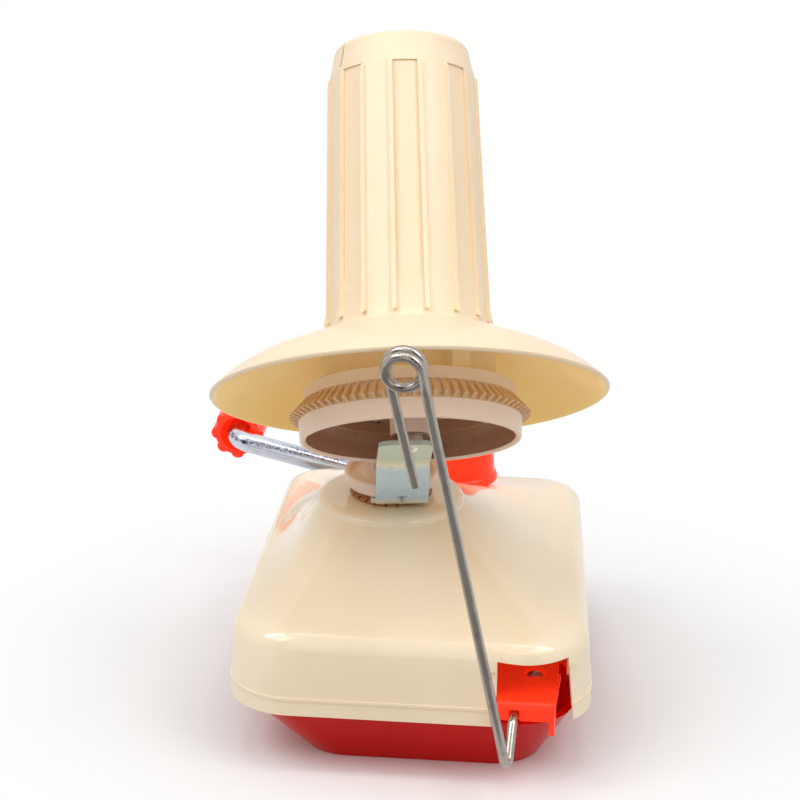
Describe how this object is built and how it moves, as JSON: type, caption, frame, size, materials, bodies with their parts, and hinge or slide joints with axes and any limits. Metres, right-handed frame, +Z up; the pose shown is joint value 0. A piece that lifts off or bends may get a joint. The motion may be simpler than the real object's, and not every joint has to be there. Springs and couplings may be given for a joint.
{
  "type": "yarn ball winder",
  "caption": "Hand-cranked yarn ball winder: cream housing on a red base, tilted ribbed spool on a turning bracket, open bevel gear, wire yarn guide and table clamp.",
  "frame": {"origin": "on the flat underside of the base, in the middle of the housing's length and width", "axes": "+Z up, +X to the right as seen from the yarn guide's end, +Y towards the crank"},
  "size_m": [0.1555, 0.2493, 0.2346],
  "materials": {
    "cream_gloss": "glossy moulded plastic",
    "deep_red": "glossy moulded plastic",
    "orange_red": "glossy moulded plastic",
    "pale_cream": "satin moulded plastic",
    "tan_plastic": "satin moulded plastic",
    "dark_tan": "satin moulded plastic",
    "nylon": "natural, satin",
    "steel": "bright turned steel",
    "dark_steel": "blackened steel",
    "zinc_rod": "bright zinc plating",
    "zinc_sheet": "zinc-plated sheet with a faint iridescence",
    "wire": "satin drawn wire",
    "brass": "turned brass",
    "black_rubber": "matt rubber"
  },
  "bodies": {
    "housing": {"top_cover": "cream_gloss", "base_tray": "deep_red", "base_screws": "dark_steel", "center_post": "steel", "upper_bush": "dark_tan", "thrust_washer": "steel", "sun_gear": "tan_plastic", "sun_nut": "steel", "crank_bush": "cream_gloss", "axle_bearing": "cream_gloss", "guide_screw": "steel", "guide_ring": "brass", "clamp_bush": "cream_gloss"},
    "crank": {"crank_rod": "zinc_rod", "crown_gear": "nylon", "crown_screw": "dark_steel", "crank_washer": "steel", "grip_clip": "steel"},
    "grip": {"crank_grip": "orange_red"},
    "carrier": {"spindle": "steel", "spindle_pinion": "nylon", "carrier_bracket": "zinc_sheet", "spool_pin": "steel", "pin_clip": "steel"},
    "spool_body": {"ring_gear": "tan_plastic", "spool": "pale_cream", "spool_cap": "pale_cream", "gear_screws": "dark_steel"},
    "guide_arm": {"guide_lever": "orange_red", "guide_wire": "wire"},
    "knob": {"clamp_knob": "orange_red", "clamp_screw": "steel", "screw_clip": "steel"},
    "jaw": {"clamp_jaw": "zinc_sheet", "jaw_nut": "steel", "jaw_pad": "black_rubber"}
  },
  "joints": [
    {"name": "crank_turn", "type": "hinge", "parent": "housing", "child": "crank", "pos_m": [-0.0132, 0, 0.038], "axis": [0, 1, 0], "continuous": true},
    {"name": "grip_turn", "type": "hinge", "parent": "crank", "child": "grip", "pos_m": [-0.08344, 0.1, 0.05512], "axis": [0, 1, 0], "continuous": true},
    {"name": "carrier_turn", "type": "hinge", "parent": "housing", "child": "carrier", "pos_m": [-0.0132, -0.009, 0.05], "axis": [0, 0, 1], "continuous": true},
    {"name": "spool_turn", "type": "hinge", "parent": "carrier", "child": "spool_body", "pos_m": [-0.0014, -0.05196, 0.1121], "axis": [-0.0897, 0.5476, 0.832], "continuous": true},
    {"name": "guide_swing", "type": "hinge", "parent": "housing", "child": "guide_arm", "pos_m": [0.0406, -0.056, 0.03], "axis": [0, 0, 1], "range_deg": [0, 8]},
    {"name": "knob_turn", "type": "hinge", "parent": "housing", "child": "knob", "pos_m": [0.0052, 0.0526, 0.05], "axis": [0, 0, 1], "range_deg": [0, 6840]},
    {"name": "jaw_slide", "type": "slide", "parent": "housing", "child": "jaw", "axis": [0, 0, -1], "range_m": [0, 0.038]}
  ],
  "couplings": [
    {"joint": "carrier_turn", "follows": "crank_turn", "ratio": -4},
    {"joint": "spool_turn", "follows": "crank_turn", "ratio": -0.83333},
    {"joint": "knob_turn", "follows": "jaw_slide", "rad_per_m": 3141.6}
  ]
}
